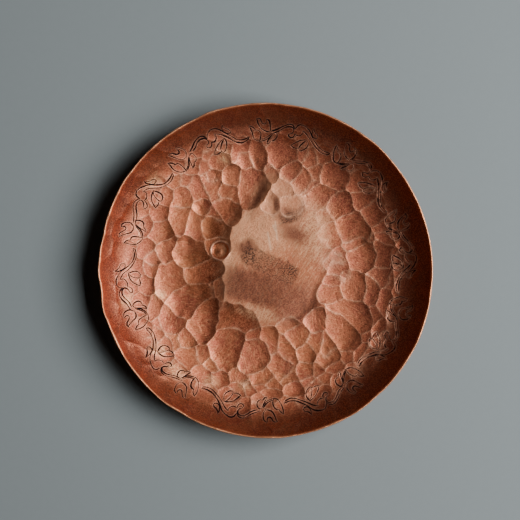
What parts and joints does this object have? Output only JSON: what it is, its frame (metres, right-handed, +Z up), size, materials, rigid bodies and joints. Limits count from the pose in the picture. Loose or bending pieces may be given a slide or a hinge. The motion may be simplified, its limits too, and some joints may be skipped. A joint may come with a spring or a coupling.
{
  "type": "hammered copper tray",
  "caption": "Shallow round copper dish raised from one hammered sheet, with a flat middle, a steepening wall, a plain hand-worked rim and an engraved vine band.",
  "frame": {"origin": "middle of the flat underside, on the surface that the dish stands on", "axes": "+Z up, out of the open side of the dish; +X towards the right of the engraved pattern as seen from above, +Y away from the viewer"},
  "size_m": [0.15, 0.1503, 0.0179],
  "materials": {
    "copper": "hand-hammered copper, satin, burnished on the ridges and the rim and darker in the engraved lines"
  },
  "bodies": {
    "root": {"dish": "copper"}
  },
  "joints": []
}
